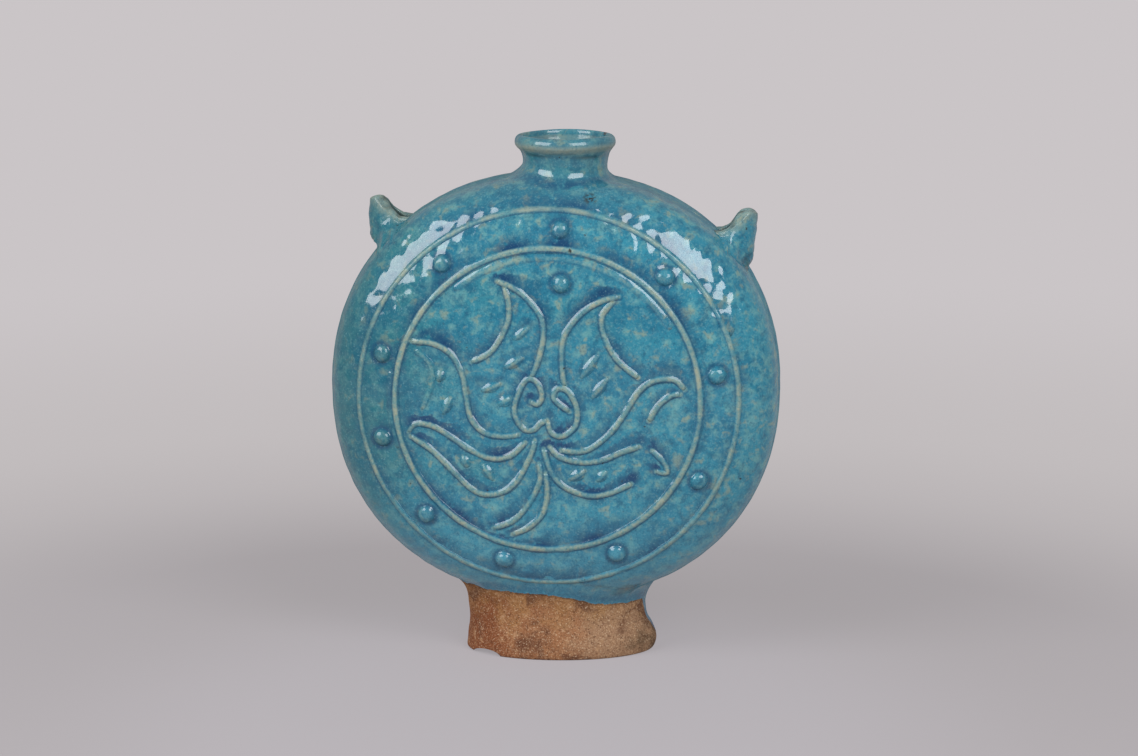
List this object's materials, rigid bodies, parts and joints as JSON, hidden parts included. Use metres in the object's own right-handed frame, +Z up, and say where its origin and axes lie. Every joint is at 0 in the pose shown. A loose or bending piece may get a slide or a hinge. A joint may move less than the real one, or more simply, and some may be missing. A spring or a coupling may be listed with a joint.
{
  "type": "pilgrim flask",
  "caption": "Round flattened flask with a short rolled-lip neck, a hollow oval foot, shoulder lugs for a cord and raised slip ornament on both faces.",
  "frame": {"origin": "middle of the foot on the table, under the middle of the body", "axes": "+Z up, +X to the right across the face, -Y out of the seen face"},
  "size_m": [0.213, 0.0828, 0.25],
  "materials": {
    "turquoise_glaze": "glossy mottled turquoise glaze, paler over edges and deeper where it pools",
    "glazed_slip_thread": "glossy thin glaze over pale slip",
    "bare_clay": "matt unglazed gritty buff to reddish-brown clay"
  },
  "bodies": {
    "root": {"front_shell": "turquoise_glaze", "back_shell": "turquoise_glaze", "seam_slip": "bare_clay", "neck": "turquoise_glaze", "foot": "bare_clay", "left_lug": "turquoise_glaze", "right_lug": "turquoise_glaze", "front_outer_ring": "glazed_slip_thread", "front_inner_ring": "glazed_slip_thread", "front_bosses": "glazed_slip_thread", "front_leaves": "glazed_slip_thread", "front_scroll": "glazed_slip_thread", "front_seeds": "glazed_slip_thread", "back_outer_ring": "glazed_slip_thread", "back_inner_ring": "glazed_slip_thread", "back_bosses": "glazed_slip_thread", "back_leaves": "glazed_slip_thread", "back_scroll": "glazed_slip_thread", "back_seeds": "glazed_slip_thread"}
  },
  "joints": []
}
